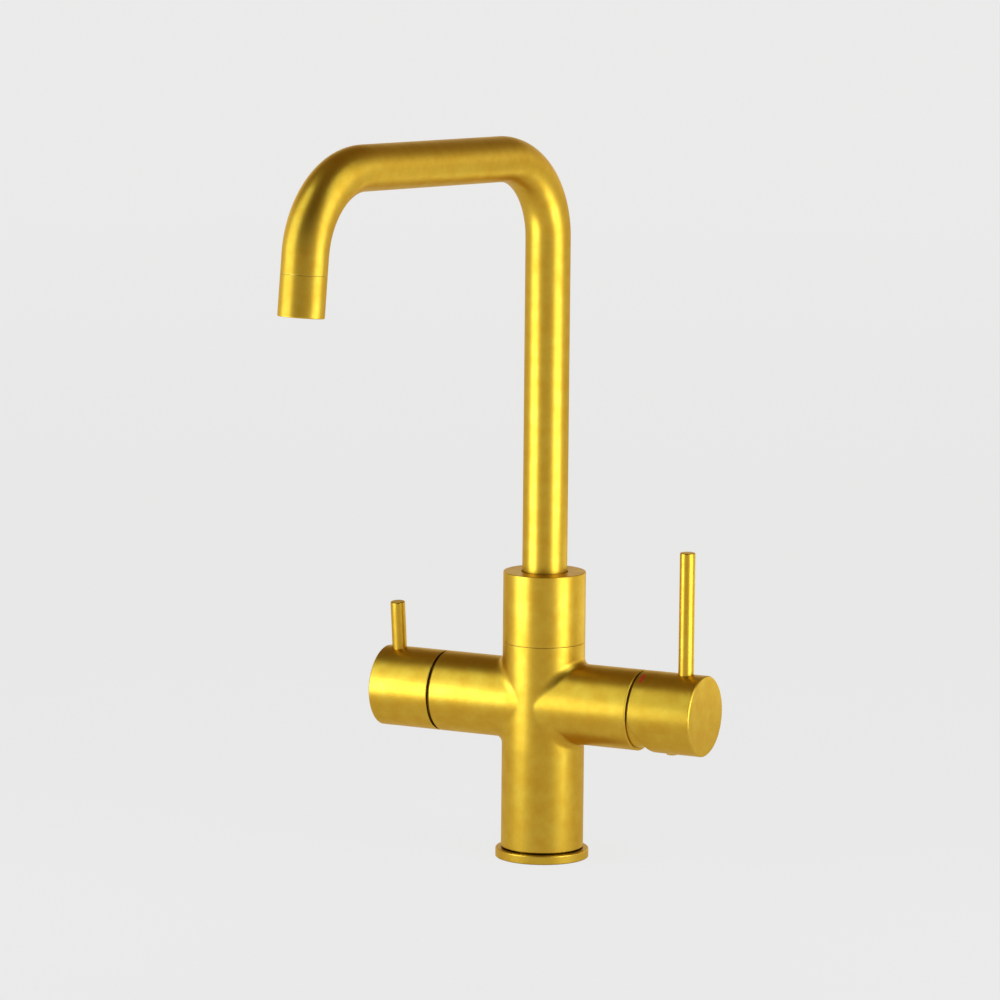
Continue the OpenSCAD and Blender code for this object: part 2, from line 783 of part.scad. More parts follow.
module mixer_stem() {
    block_back = 4;
    neck_lap = 1;
    block_x = pivot_x - block_back;
    color(steel) difference() {
        union() {
            on_mixer_side(pivot_x - ball_arm) sphere(d = ball_d);
            on_mixer_side(pivot_x - ball_arm) cylinder(d = stem_neck_d, h = ball_arm - stem_h / 2 + neck_lap);
            translate([block_x, -stem_w / 2, arm_z - stem_h / 2])
                cube([stem_end_x - block_x, stem_w, stem_h]);
        }
        translate([pivot_x, stem_w / 2 + past, arm_z]) rotate([90, 0, 0])
            cylinder(d = pin_d + 2 * running_fit, h = stem_w + 2 * past);
    }
}

module mixer_handle() {
    color(gold) difference() {
        on_mixer_side(mixer_handle_x)
            chamfered_rod(handle_d, mixer_reach - mixer_handle_x, line_chamfer, handle_rim);
        on_mixer_side(pivot_x) sphere(r = dome_r + dome_play);
        translate([mixer_handle_x, -handle_d, arm_z - relief_drop]) rotate([0, -relief_angle, 0])
            translate([-handle_d, 0, -2 * handle_d]) cube([handle_d, 2 * handle_d, 2 * handle_d]);
        translate([pivot_x, -stem_w / 2 - seat_fit, arm_z - stem_h / 2 - seat_fit])
            cube([stem_end_x - pivot_x + tip_room, stem_w + 2 * seat_fit, stem_h + 2 * seat_fit]);
        above_arm(mixer_lever_x) lever_hole(mixer_lever_d);
        above_arm(plug_x) mirror([0, 0, 1]) translate([0, 0, plug_floor()])
            cylinder(d = plug_d + 2 * seat_fit, h = handle_d);
        on_mixer_screw() translate([0, 0, -screw_tip() - past])
            cylinder(d = grub_d + 2 * seat_fit, h = screw_tip() + 2 * past);
        mark_recess(1);
        mark_recess(-1);
    }
}

function plug_floor() = handle_d / 2 - plug_depth;

// Distance along the screw's axis from the plug's floor to the screw's tip
function screw_tip() =
    (plug_floor() - stem_h / 2 - screw_tip_gap) / cos(screw_tilt) - grub_d / 2 * tan(screw_tilt);

// Places its children on the screw's axis, outward from the plug's floor
module on_mixer_screw() {
    above_arm(plug_x) mirror([0, 0, 1]) translate([0, 0, plug_floor()])
        rotate([0, -screw_tilt, 0]) children();
}

// Stepped hole for a lever, upright over the handle's axis
module lever_hole(d) {
    r = handle_d / 2;
    translate([0, 0, r - lever_seat]) cylinder(d = d + 2 * seat_fit, h = r);
    translate([0, 0, r - lever_seat - lever_thread_h - tip_room])
        cylinder(d = lever_thread_d + 2 * seat_fit, h = r);
}

// A turned lever with its threaded tail, upright over the handle's axis
module lever(d, h) {
    r = d / 2;
    foot = handle_d / 2 - lever_seat;
    top = handle_d / 2 + h;
    tail_r = lever_thread_d / 2;
    rotate_extrude() polygon(concat(
        [[0, foot - lever_thread_h], [tail_r - edge_chamfer, foot - lever_thread_h],
            [tail_r, foot - lever_thread_h + edge_chamfer], [tail_r, foot], [r, foot]],
        arc(r - lever_edge_r, top - lever_edge_r, lever_edge_r, 0, 90),
        [[0, top]]));
}

module mixer_lever() {
    color(gold) above_arm(mixer_lever_x) lever(mixer_lever_d, mixer_lever_h);
}

// A grub screw along local Z with a hexagon socket in its outer end
module grub_screw(d, from, to) {
    key_d = 0.6 * d;
    key_depth = 2.5;
    difference() {
        translate([0, 0, from]) cylinder(d = d, h = to - from);
        translate([0, 0, to - key_depth]) cylinder(d = key_d, h = key_depth + past, $fn = 6);
    }
}

module mixer_grub_screw() {
    color(steel) on_mixer_screw() grub_screw(grub_d, -screw_tip(), mixer_screw_l - screw_tip());
}

module mixer_plug() {
    r = plug_d / 2;
    top = handle_d / 2 + plug_proud;
    edge_r = 0.5;
    color(gold) above_arm(plug_x) mirror([0, 0, 1]) rotate_extrude() polygon(concat(
        [[0, plug_floor()], [r, plug_floor()]],
        arc(r - edge_r, top - edge_r, edge_r, 0, 90, 6),
        [[0, top]]));
}

// One temperature mark round the handle's rear edge: 1 lies to the front, -1 to the back
module mark(side, inner_r, outer_r, margin) {
    half = mark_w / 2 + margin;
    angle = mark_arc + 2 * margin;
    middle = mark_start + mark_arc / 2;
    on_mixer_side(mark_x + mark_w / 2) rotate([0, 0, 180 + side * middle - angle / 2])
        rotate_extrude(angle = angle) translate([inner_r, -half]) square([outer_r - inner_r, 2 * half]);
}

module mark_recess(side) {
    mark(side, handle_d / 2 - mark_depth, handle_d / 2 + past, seat_fit);
}

module hot_mark() {
    color(hot_red) mark(1, handle_d / 2 - mark_depth + seat_fit, handle_d / 2 + mark_proud, 0);
}

module cold_mark() {
    color(cold_blue) mark(-1, handle_d / 2 - mark_depth + seat_fit, handle_d / 2 + mark_proud, 0);
}

module seat_seal() {
    side_room = 1;
    bore_room = 0.5;
    color(rubber) on_boiling_side(seat_x)
        ring(bush_body_d - 2 * side_room, waterway_d + 2 * bore_room, seat_seal_h);
}

module valve_bush() {
    color(brass) on_boiling_side(bush_x) difference() {
        union() {
            cylinder(d = bush_body_d, h = bush_shoulder_x - bush_x);
            translate([0, 0, bush_thread_x - bush_x]) cylinder(d = bush_d, h = hexagon_x - bush_thread_x);
            translate([0, 0, hexagon_x - bush_x]) cylinder(d = hexagon_af / cos(30), h = hexagon_h, $fn = 6);
        }
        translate([0, 0, -past]) cylinder(d = valve_bore_d, h = valve_bore_h + past);
        cylinder(d = shaft_bore_d, h = hexagon_x + hexagon_h - bush_x + past);
        translate([-bush_d, -window_w / 2, window_x]) cube([2 * bush_d, window_w, window_h]);
    }
}

module bush_washer() {
    rim = 1.5;
    color(brass) on_boiling_side(bush_shoulder_x)
        ring(hexagon_af + 2 * rim, bush_d + 2 * running_fit, bush_washer_t);
}

module valve_fixed_disc() {
    color(ceramic) on_boiling_side(bush_x) valve_disc(valve_bore_d - 2 * seat_fit);
}

module valve_turning_disc() {
    color(ceramic) boiling_rest() on_boiling_side(valve_disc_x) rotate([0, 0, 90])
        valve_disc(valve_bore_d - 2 * running_fit);
}

// A ceramic disc with two opposite ports
module valve_disc(d) {
    hole_x = 3.7;
    hole_d = 4;
    difference() {
        cylinder(d = d, h = valve_disc_h);
        for (side = [-1, 1])
            translate([side * hole_x, 0, -past]) cylinder(d = hole_d, h = valve_disc_h + 2 * past);
    }
}

module valve_spindle() {
    end_x = spline_x + spline_h;
    tooth_h = 0.5;
    clip_groove = 0.8;
    tap_h = 9;
    drive_w = 2;
    drive_h = 1.5;
    color(brass) boiling_rest() on_boiling_side(spindle_x) difference() {
        union() {
            cylinder(d = valve_bore_d - 2 * running_fit, h = spindle_foot_h);
            cylinder(d = shaft_d, h = clip_x - spindle_x);
            cylinder(d = shaft_d - 2 * clip_groove, h = spline_x - spindle_x);
            translate([0, 0, clip_x + clip_t - spindle_x])
                cylinder(d = shaft_d, h = spline_x - clip_x - clip_t);
            translate([0, 0, spline_x - spindle_x])
                linear_extrude(spline_h) spline_outline(shaft_d / 2, tooth_h);
        }
        translate([0, 0, spindle_seal_x() - small_groove_w / 2 - spindle_x])
            ring(shaft_d + past, shaft_d - 2 * small_seal_s, small_groove_w);
        translate([0, 0, end_x - spindle_x - tap_h]) cylinder(d = adapter_screw_d, h = tap_h + past);
        translate([-drive_w / 2, -valve_bore_d, -past]) cube([drive_w, 2 * valve_bore_d, drive_h + past]);
    }
}

// Toothed outline of the spindle's end
module spline_outline(r, depth) {
    polygon([for (i = [0 : 2 * spline_teeth - 1])
        let (a = i * 180 / spline_teeth, q = r - (i % 2) * depth) [q * cos(a), q * sin(a)]]);
}

function spindle_seal_x() = hexagon_x - spindle_seal_depth;

module spindle_seal() {
    color(rubber) boiling_rest() on_boiling_side(spindle_seal_x())
        o_ring(shaft_d / 2 - small_seal_s / 2 + seal_space, small_seal_s);
}

module spindle_clip() {
    groove = 0.8;
    width = 2.3;
    opening = 60;
    color(steel) boiling_rest() on_boiling_side(clip_x) rotate([0, 0, opening / 2])
        rotate_extrude(angle = 360 - opening)
            translate([shaft_d / 2 - groove + seat_fit, 0]) square([width, clip_t]);
}

module handle_adapter() {
    color(acetal) boiling_rest() on_boiling_side(adapter_x) difference() {
        cylinder(d = adapter_d, h = adapter_h);
        translate([0, 0, -past]) cylinder(d = shaft_d + 2 * seat_fit, h = adapter_web_x - adapter_x + past);
        cylinder(d = adapter_screw_d + 2 * adapter_screw_gap, h = adapter_h);
        translate([0, 0, adapter_web_x + adapter_web_t - adapter_x])
            cylinder(d = screw_head_d + 2 * screw_head_gap, h = adapter_h);
    }
}

module adapter_screw() {
    head_x = adapter_web_x + adapter_web_t;
    color(steel) boiling_rest() difference() {
        union() {
            on_boiling_side(head_x) cylinder(d = screw_head_d, h = screw_head_h);
            on_boiling_side(head_x - adapter_screw_l)
                cylinder(d = adapter_screw_d - 2 * seat_fit, h = adapter_screw_l);
        }
        on_boiling_side(head_x + screw_head_h - screw_key_depth)
            cylinder(d = screw_key_d, h = screw_key_depth + past, $fn = 6);
    }
}

module boiling_handle() {
    x = boiling_handle_x;
    shell_id = handle_d - 2 * boiling_shell;
    color(gold) boiling_rest() difference() {
        union() {
            on_boiling_side(x) chamfered_rod(handle_d, boiling_reach - x, line_chamfer, handle_rim);
            on_boiling_side(glide_x)
                ring(handle_d - 2 * glide_drop, shell_id, x - glide_x + line_chamfer + past);
        }
        on_boiling_side(x - past) ring(shell_id, boiling_hub_d, boiling_pocket_x - x + past);
        on_boiling_side(x - past)
            cylinder(d = adapter_d + 2 * seat_fit, h = adapter_x + adapter_h + tip_room - x + past);
        above_arm(-boiling_lever_x) lever_hole(boiling_lever_d);
        above_arm(-boiling_grub_x) mirror([0, 0, 1]) cylinder(d = grub_d + 2 * seat_fit, h = handle_d);
    }
}

module boiling_lever() {
    color(gold) boiling_rest() above_arm(-boiling_lever_x) lever(boiling_lever_d, boiling_lever_h);
}

module boiling_grub_screw() {
    color(steel) boiling_rest() above_arm(-boiling_grub_x) mirror([0, 0, 1])
        grub_screw(grub_d, adapter_d / 2, boiling_hub_d / 2 + boiling_grub_proud);
}

body();
base_ring();
base_gasket();
collar();
collar_seal();
boiling_tube_seal();
lower_washer();
upper_washer();
swivel_stop_pin();
spout_tube();
spout_spigot();
spigot_seals();
boiling_tube();
outlet_sleeve();
aerator_washer();
aerator_housing();
aerator_screen();
boiling_nozzle();
cartridge_base();
port_seals();
fixed_disc();
cartridge_housing();
retaining_nut();
dome_cover();
turret();
pivot_pin();
sliding_disc();
disc_carrier();
mixer_stem();
mixer_handle();
mixer_lever();
mixer_grub_screw();
mixer_plug();
hot_mark();
cold_mark();
seat_seal();
valve_bush();
bush_washer();
valve_fixed_disc();
valve_turning_disc();
valve_spindle();
spindle_seal();
spindle_clip();
handle_adapter();
adapter_screw();
boiling_handle();
boiling_lever();
boiling_grub_screw();
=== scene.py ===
import math

import bpy
from mathutils import Matrix, Vector


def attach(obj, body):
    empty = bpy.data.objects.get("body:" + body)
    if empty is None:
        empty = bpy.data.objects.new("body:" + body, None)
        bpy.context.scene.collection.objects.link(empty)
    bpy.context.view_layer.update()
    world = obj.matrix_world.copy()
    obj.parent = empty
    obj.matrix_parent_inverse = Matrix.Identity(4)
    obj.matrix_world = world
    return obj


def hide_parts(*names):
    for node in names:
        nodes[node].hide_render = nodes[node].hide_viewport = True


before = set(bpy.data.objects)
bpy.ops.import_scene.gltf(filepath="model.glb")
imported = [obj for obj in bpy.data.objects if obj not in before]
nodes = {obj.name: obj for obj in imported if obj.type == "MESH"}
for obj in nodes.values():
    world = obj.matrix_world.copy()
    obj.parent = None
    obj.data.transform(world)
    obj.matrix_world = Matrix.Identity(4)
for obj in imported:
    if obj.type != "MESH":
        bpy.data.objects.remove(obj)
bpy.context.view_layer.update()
mm = 0.001
sharpAngle = math.radians(28)  # faces that meet at a steeper angle keep a crisp edge
print("frame loaded:", len(nodes), "nodes")


def toLinear(hexColour):
    channels = [int(hexColour[i:i + 2], 16) / 255 for i in (1, 3, 5)]
    return tuple(c / 12.92 if c <= 0.04045 else ((c + 0.055) / 1.055) ** 2.4 for c in channels) + (1.0,)


def addNode(tree, kind, settings=None, inputs=None):
    # a value that is a socket is linked, any other value is set
    node = tree.nodes.new(kind)
    for name, value in (settings or {}).items():
        setattr(node, name, value)
    for name, value in (inputs or {}).items():
        socket = node.inputs[name]
        if isinstance(value, bpy.types.NodeSocket):
            tree.links.new(value, socket)
        else:
            socket.default_value = value
    return node


def noise(tree, sizeMm, detail, roughness=0.5):
    # fixed to the piece, so the pattern turns along with it
    place = addNode(tree, "ShaderNodeTexCoord")
    return addNode(tree, "ShaderNodeTexNoise", {"noise_dimensions": "3D"}, {
        "Vector": place.outputs["Object"], "Scale": 1 / (sizeMm * mm), "Detail": detail,
        "Roughness": roughness}).outputs["Fac"]


def ramp(tree, value, span, result=(0, 1), smooth=False):
    interpolation = "SMOOTHSTEP" if smooth else "LINEAR"
    return addNode(tree, "ShaderNodeMapRange", {"interpolation_type": interpolation}, {
        "Value": value, "From Min": span[0], "From Max": span[1],
        "To Min": result[0], "To Max": result[1]}).outputs["Result"]


def blend(tree, share, first, second):
    # the colour mix node keeps its factor, A and B in sockets 0, 6 and 7
    mix = addNode(tree, "ShaderNodeMix", {"data_type": "RGBA"}, {0: share, 6: first, 7: second})
    return mix.outputs[2]


def bump(tree, height, strength, depthMm, normal=None):
    inputs = {"Height": height, "Strength": strength, "Distance": depthMm * mm}
    if normal:
        inputs["Normal"] = normal
    return addNode(tree, "ShaderNodeBump", None, inputs).outputs["Normal"]


def newMaterial(name):
    material = bpy.data.materials.new(name)
    material.use_nodes = True
    tree = material.node_tree
    tree.nodes.clear()
    return material, tree


def surface(tree, inputs):
    shader = addNode(tree, "ShaderNodeBsdfPrincipled", None, inputs)
    addNode(tree, "ShaderNodeOutputMaterial", None, {"Surface": shader.outputs["BSDF"]})


def satinGold(name, s):
    # brass with a satin gold PVD coat: a deep yellow metal with broad soft highlights, a blasted
    # grain, faint clouds where the blasting was a little stronger, a painted highlight on the edges and
    # painted shade in joints
    material, tree = newMaterial(name)
    # real blasting leaves 0.1 mm dimples; they are drawn coarser, so that they show
    grain = noise(tree, s["grainMm"], s["grainDetail"], s["noiseRoughness"])
    cloud = noise(tree, s["cloudMm"], s["cloudDetail"], s["noiseRoughness"])
    patch = ramp(tree, cloud, s["cloudSpan"])
    tint = blend(tree, patch, toLinear(s["deep"]), toLinear(s["light"]))
    dullest, smoothest = s["roughness"] + s["roughSpread"], s["roughness"] - s["roughSpread"]
    # painted highlight: edges are tinted towards a lighter gold, as if they caught the light
    soft = addNode(tree, "ShaderNodeBevel", {"samples": s["samples"]}, {"Radius": s["edgeMm"] * mm})
    geometry = addNode(tree, "ShaderNodeNewGeometry")
    along = addNode(tree, "ShaderNodeVectorMath", {"operation": "DOT_PRODUCT"}, {
        0: soft.outputs["Normal"], 1: geometry.outputs["Normal"]})
    edge = ramp(tree, along.outputs["Value"], s["edgeSpan"])
    paintedEdgeHighlight = blend(tree, edge, tint, toLinear(s["paintedEdgeHighlight"]))
    # painted shade: joints, grooves and gaps between parts, where little of the view is open, are darkened
    # towards a dark shade colour
    paintedShadeOcclusion = addNode(tree, "ShaderNodeAmbientOcclusion", {"samples": s["samples"]}, {
        "Distance": s["paintedShadeMm"] * mm})
    depth = ramp(tree, paintedShadeOcclusion.outputs["AO"], s["paintedShadeSpan"], smooth=True)
    surface(tree, {
        "Base Color": blend(tree, depth, paintedEdgeHighlight, toLinear(s["shade"])), "Metallic": 1.0,
        "Roughness": ramp(tree, patch, (0, 1), (dullest, smoothest)),
        "Specular Tint": toLinear(s["edgeTint"]),
        "Normal": bump(tree, grain, s["grainStrength"], s["grainDepthMm"], soft.outputs["Normal"])})
    return material


def turnedMetal(name, s):
    # uncoated turned metal: fine tool marks, drawn coarser than the real ones, and a slightly uneven tone
    material, tree = newMaterial(name)
    marks = noise(tree, s["markMm"], s["detail"])
    surface(tree, {
        "Base Color": blend(tree, marks, toLinear(s["deep"]), toLinear(s["light"])), "Metallic": 1.0,
        "Roughness": s["roughness"], "Normal": bump(tree, marks, s["strength"], s["depthMm"])})
    return material


def mouldedSolid(name, s):
    # rubber, acetal, ceramic and enamel: a moulded, lapped or filled skin with a fine grain, drawn coarse
    material, tree = newMaterial(name)
    grain = noise(tree, s["grainMm"], s["detail"])
    surface(tree, {
        "Base Color": blend(tree, grain, toLinear(s["deep"]), toLinear(s["light"])), "IOR": s["ior"],
        "Roughness": s["roughness"], "Normal": bump(tree, grain, s["strength"], s["depthMm"])})
    return material


goldCoat = satinGold("satinGoldCoat", {
    # the lighter edge colour is a painted highlight on the edges
    "deep": "#C2942B", "light": "#CAA236", "paintedEdgeHighlight": "#DFC056", "shade": "#5A430C", "edgeTint": "#FFF1CC",
    "roughness": 0.37, "roughSpread": 0.015, "noiseRoughness": 0.6,
    "grainMm": 0.8, "grainDetail": 2.0, "grainDepthMm": 0.02, "grainStrength": 0.25,
    "cloudMm": 9, "cloudDetail": 4.0, "cloudSpan": (0.34, 0.66),
    "edgeMm": 0.4, "edgeSpan": (0.995, 0.90),  # cosine between the softened and the true normal
    # painted shade: reach of the darkening in joints and grooves, and the open share of the view at which it
    # starts and is full
    "paintedShadeMm": 2.0, "paintedShadeSpan": (0.75, 0.30),  # share of the view that is open
    "samples": 8,
})
turned = {"detail": 2.0, "strength": 0.3}
machinedBrass = turnedMetal("machinedBrass", {
    "deep": "#B79650", "light": "#C8A964", "roughness": 0.28, "markMm": 0.25, "depthMm": 0.01, **turned})
stainlessSteel = turnedMetal("stainlessSteel", {
    "deep": "#A9ACB0", "light": "#BEC1C5", "roughness": 0.24, "markMm": 0.2, "depthMm": 0.008, **turned})
moulded = {"detail": 3.0, "strength": 0.3}
nitrileRubber = mouldedSolid("nitrileRubber", {
    "deep": "#141414", "light": "#202020", "roughness": 0.62, "ior": 1.52,
    "grainMm": 0.3, "depthMm": 0.02, **moulded})
whiteAcetal = mouldedSolid("whiteAcetal", {
    "deep": "#DAD9D2", "light": "#E6E5DE", "roughness": 0.42, "ior": 1.48,
    "grainMm": 0.5, "depthMm": 0.01, **moulded})
aluminaCeramic = mouldedSolid("aluminaCeramic", {
    "deep": "#E6E0D2", "light": "#F0EBDF", "roughness": 0.22, "ior": 1.76,
    "grainMm": 0.4, "depthMm": 0.004, **moulded})
enamel = {"roughness": 0.25, "ior": 1.5, "grainMm": 0.6, "depthMm": 0.01, **moulded}
redEnamel = mouldedSolid("redEnamel", {"deep": "#A41C12", "light": "#B8281A", **enamel})
blueEnamel = mouldedSolid("blueEnamel", {"deep": "#16389E", "light": "#2048B4", **enamel})

finishes = {
    goldCoat: [
        "body", "base_ring", "collar", "spout_tube", "outlet_sleeve", "dome_cover", "mixer_handle",
        "mixer_lever", "mixer_plug", "boiling_handle", "boiling_lever"],
    machinedBrass: [
        "spout_spigot", "aerator_housing", "retaining_nut", "valve_bush", "bush_washer", "valve_spindle"],
    stainlessSteel: [
        "swivel_stop_pin", "boiling_tube", "aerator_screen", "boiling_nozzle", "pivot_pin",
        "mixer_stem", "mixer_grub_screw", "spindle_clip", "adapter_screw", "boiling_grub_screw"],
    nitrileRubber: [
        "base_gasket", "collar_seal", "boiling_tube_seal", "spigot_seals", "aerator_washer",
        "port_seals", "seat_seal", "spindle_seal"],
    whiteAcetal: [
        "lower_washer", "upper_washer", "cartridge_base", "cartridge_housing", "turret",
        "disc_carrier", "handle_adapter"],
    aluminaCeramic: ["fixed_disc", "sliding_disc", "valve_fixed_disc", "valve_turning_disc"],
    redEnamel: ["hot_mark"],
    blueEnamel: ["cold_mark"],
}
for material, names in finishes.items():
    for nodeName in names:
        mesh = nodes[nodeName].data
        mesh.materials.clear()
        mesh.materials.append(material)
        for face in mesh.polygons:
            face.material_index = 0
print("materials made:", len(finishes))


# the body is one casting, with soft fillets where the arms leave the column
bodyShape = {
    "columnR": 22.5, "columnFrom": 5.8, "columnTo": 119.2, "lineChamfer": 0.2,
    "armR": 22.0, "armZ": 86.5, "armReach": 59.5, "armChamfer": 0.4,
    "filletR": 3.0, "filletSpread": 8.0,
    "neckR": 19.0, "neckTo": 141.0,
    "footR": 19.0, "grooveR": 20.5, "grooveFrom": 5.0,
    # place along the arm, radius
    "mixerBores": [(59.5, 19.25), (55.0, 19.25), (55.0, 17.6), (32.0, 17.6)],
    "valveBores": [(59.5, 15.0), (52.0, 15.0), (52.0, 10.45), (26.0, 10.45)],
    # x, y, radius, depth: three inlets, then two studs
    "footBores": [
        (0, 0, 4.5, 13), (-7.5, 9, 4.5, 13), (7.5, 9, 4.5, 13),
        (-14, 0, 3.4, 16), (14, 0, 3.4, 16)],
    "boreStart": -1, "aroundBore": 48,
    "aroundArm": 144, "acrossFillet": 8, "alongArm": 8, "aroundColumn": 56,
}


def bodyMesh(s):
    verts, faces = [], []
    colR, armR, z0 = s["columnR"], s["armR"], s["armZ"]
    n, m, k = s["aroundArm"], s["acrossFillet"], s["aroundColumn"]

    def add(x, y, z):
        verts.append((x, y, z))
        return len(verts) - 1

    def bridge(a, b, flip):
        for i in range(len(a)):
            j = (i + 1) % len(a)
            quad = [a[i], a[j], b[j], b[i]]
            faces.append(quad[::-1] if flip else quad)

    # the fillet's ball rolls round the arm and touches column and arm along two curves
    contact = {}
    for side in (1, -1):
        loops = [[] for _ in range(m + 1)]
        reach = []
        for i in range(n):
            t = 2 * math.pi * i / n
            r = s["filletR"] + s["filletSpread"] * math.sin(t) ** 2  # softer at the front and back
            y, dz = (armR + r) * math.sin(t), (armR + r) * math.cos(t)
            x = math.sqrt((colR + r) ** 2 - y * y)
            ball = Vector((x, y, dz))
            onColumn = Vector((x * colR / (colR + r), y * colR / (colR + r), dz)) - ball
            onArm = Vector((x, y * armR / (armR + r), dz * armR / (armR + r))) - ball
            reach.append(x)
            for q in range(m + 1):
                p = ball + onColumn.slerp(onArm, q / m) * r
                loops[q].append(add(side * p.x, p.y, z0 + p.z))
        contact[side] = loops[0]
        for q in range(m):
            bridge(loops[q], loops[q + 1], side > 0)

        def armLoop(xOf, radius):
            return [add(side * xOf(i), radius * math.sin(2 * math.pi * i / n),
                        z0 + radius * math.cos(2 * math.pi * i / n)) for i in range(n)]

        last = loops[m]
        end = s["armReach"] - s["armChamfer"]
        for q in range(1, s["alongArm"] + 1):
            f = q / s["alongArm"]
            new = armLoop(lambda i: reach[i] * (1 - f) + end * f, armR)
            bridge(last, new, side > 0)
            last = new
        rest = [(s["armReach"], armR - s["armChamfer"])] + s["mixerBores" if side > 0 else "valveBores"]
        for x, radius in rest:
            new = armLoop(lambda i: x, radius)
            bridge(last, new, side > 0)
            last = new
        faces.append(last[::-1] if side > 0 else last[:])

    # column between the two contact curves, back half then front half
    rows = []
    for i in range(n // 2 + 1):
        row = []
        for half in (1, -1):
            a = contact[1][i if half > 0 else -i % n]
            b = contact[-1][i if half > 0 else -i % n]
            start = math.atan2(verts[a][1], verts[a][0])
            if half < 0 and start >= 0:
                start = -start
            sweep = half * math.pi - 2 * start
            arc = [a]
            for j in range(1, k):
                angle = start + sweep * j / k
                arc.append(add(colR * math.cos(angle), colR * math.sin(angle), verts[a][2]))
            row.append(arc + [b])
        rows.append(row)
    for upper, lower in zip(rows, rows[1:]):
        for half in (0, 1):
            a, b = upper[half], lower[half]
            for j in range(k):
                quad = [a[j], b[j], b[j + 1], a[j + 1]]
                faces.append(quad[::-1] if half else quad)

    # whole rings above and below
    def wholeRing(row):
        return row[0] + row[1][k - 1:0:-1]

    def ringAt(radius, z):
        ring = []
        for j in range(2 * k):
            angle = math.pi * j / k
            ring.append(add(radius * math.cos(angle), radius * math.sin(angle), z))
        return ring

    last = wholeRing(rows[0])
    for radius, z in [(colR, s["columnTo"] - s["lineChamfer"]), (colR - s["lineChamfer"], s["columnTo"]),
                      (s["neckR"], s["columnTo"]), (s["neckR"], s["neckTo"])]:
        new = ringAt(radius, z)
        bridge(last, new, False)
        last = new
    faces.append(last[:])
    last = wholeRing(rows[-1])
    for radius, z in [(colR, s["columnFrom"] + s["lineChamfer"]), (colR - s["lineChamfer"], s["columnFrom"]),
                      (s["grooveR"], s["columnFrom"]), (s["grooveR"], s["grooveFrom"]),
                      (s["footR"], s["grooveFrom"]), (s["footR"], 0)]:
        new = ringAt(radius, z)
        bridge(last, new, True)
        last = new
    faces.append(last[::-1])
    return verts, faces


def boreMesh(s):
    # one closed rod for each bore
    verts, faces = [], []
    steps = s["aroundBore"]
    for x, y, radius, depth in s["footBores"]:
        first = len(verts)
        bottom, top = range(first, first + steps), range(first + steps, first + 2 * steps)
        for z in (s["boreStart"], depth):
            for i in range(steps):
                angle = 2 * math.pi * i / steps
                verts.append((x + radius * math.cos(angle), y + radius * math.sin(angle), z))
        faces += [[bottom[i], bottom[(i + 1) % steps], top[(i + 1) % steps], top[i]] for i in range(steps)]
        faces += [list(bottom)[::-1], list(top)]
    return verts, faces


def meshPiece(name, shape, material):
    # the shape's points are in millimetres
    verts, faces = shape
    mesh = bpy.data.meshes.new(name)
    mesh.from_pydata([Vector(v) * mm for v in verts], [], faces)
    mesh.validate()
    mesh.shade_smooth()
    mesh.set_sharp_from_angle(angle=sharpAngle)
    mesh.materials.append(material)
    piece = bpy.data.objects.new(name, mesh)
    bpy.context.scene.collection.objects.link(piece)
    return piece


bodySkin = meshPiece("filletedBody", bodyMesh(bodyShape), goldCoat)
cutter = meshPiece("footBores", boreMesh(bodyShape), goldCoat)
cut = bodySkin.modifiers.new("bores", "BOOLEAN")
cut.operation = "DIFFERENCE"
cut.solver = "EXACT"
cut.object = cutter
evaluated = bodySkin.evaluated_get(bpy.context.evaluated_depsgraph_get())
cutMesh = bpy.data.meshes.new_from_object(evaluated)
bodySkin.modifiers.clear()
bodySkin.data = cutMesh
cutMesh.set_sharp_from_angle(angle=sharpAngle)
bpy.data.objects.remove(cutter)
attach(bodySkin, "body")
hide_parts("body")
print("body made:", len(cutMesh.vertices), "vertices")


# the photograph's own view, found from the outlines of the round pieces
cameraView = {
    "place": (1.44017, -2.93319, 0.70632),
    "yaw": 0.463964, "pitch": 0.154694, "roll": 0.009145,
    "focal": 6.09153,  # in image widths
    "clipEnd": 100,
}
yaw, pitch, roll = (cameraView[key] for key in ("yaw", "pitch", "roll"))
forward = Vector((-math.sin(yaw) * math.cos(pitch), math.cos(yaw) * math.cos(pitch), -math.sin(pitch)))
right = Vector((math.cos(yaw), math.sin(yaw), 0))
up = right.cross(forward)
right, up = right * math.cos(roll) + up * math.sin(roll), up * math.cos(roll) - right * math.sin(roll)
turn = Matrix((right, up, -forward)).transposed().to_4x4()
cameraData = bpy.data.cameras.new("camera")
cameraData.lens = cameraView["focal"] * cameraData.sensor_width
cameraData.clip_end = cameraView["clipEnd"]
camera = bpy.data.objects.new("camera", cameraData)
camera.matrix_world = Matrix.Translation(cameraView["place"]) @ turn
bpy.context.scene.collection.objects.link(camera)
bpy.context.scene.camera = camera
print("camera placed")


# a pale floor, two tall and three low soft boxes, and a dim room with a warm ceiling
studio = {
    "floorColour": "#444444", "floorSize": 80,
    "glowFrom": 0.3, "glowTo": 4.0, "floorGlow": (0.785, 0.815),
    # the room from the horizon to the ceiling, by the rise of the view, and from front to back
    "horizon": "#F9F9F9", "ceiling": "#7C653F", "riseSpan": (0.12, 0.65),
    "frontLevel": 0.42, "backLevel": 1.15, "levelSpan": (-0.9, 0.6),
    "backdrop": "#E9E9E9",
    "lampColour": "#E1F9FF",
    # azimuth from the front towards +X, distance, height of the centre, width, height, radiance
    "tallBox": [
        (-41, 0.62, 0.66, 0.46, 1.30, 2.15),
        (82, 0.62, 0.66, 0.46, 1.30, 2.15),
    ],
    # two for the column and one for the end face of the mixer handle
    "lowBox": [
        (-38, 0.44, 0.12, 0.26, 0.22, 3.9),
        (84, 0.44, 0.12, 0.26, 0.22, 3.9),
        (153, 0.36, 0.08, 0.30, 0.08, 1.1),
    ],
}


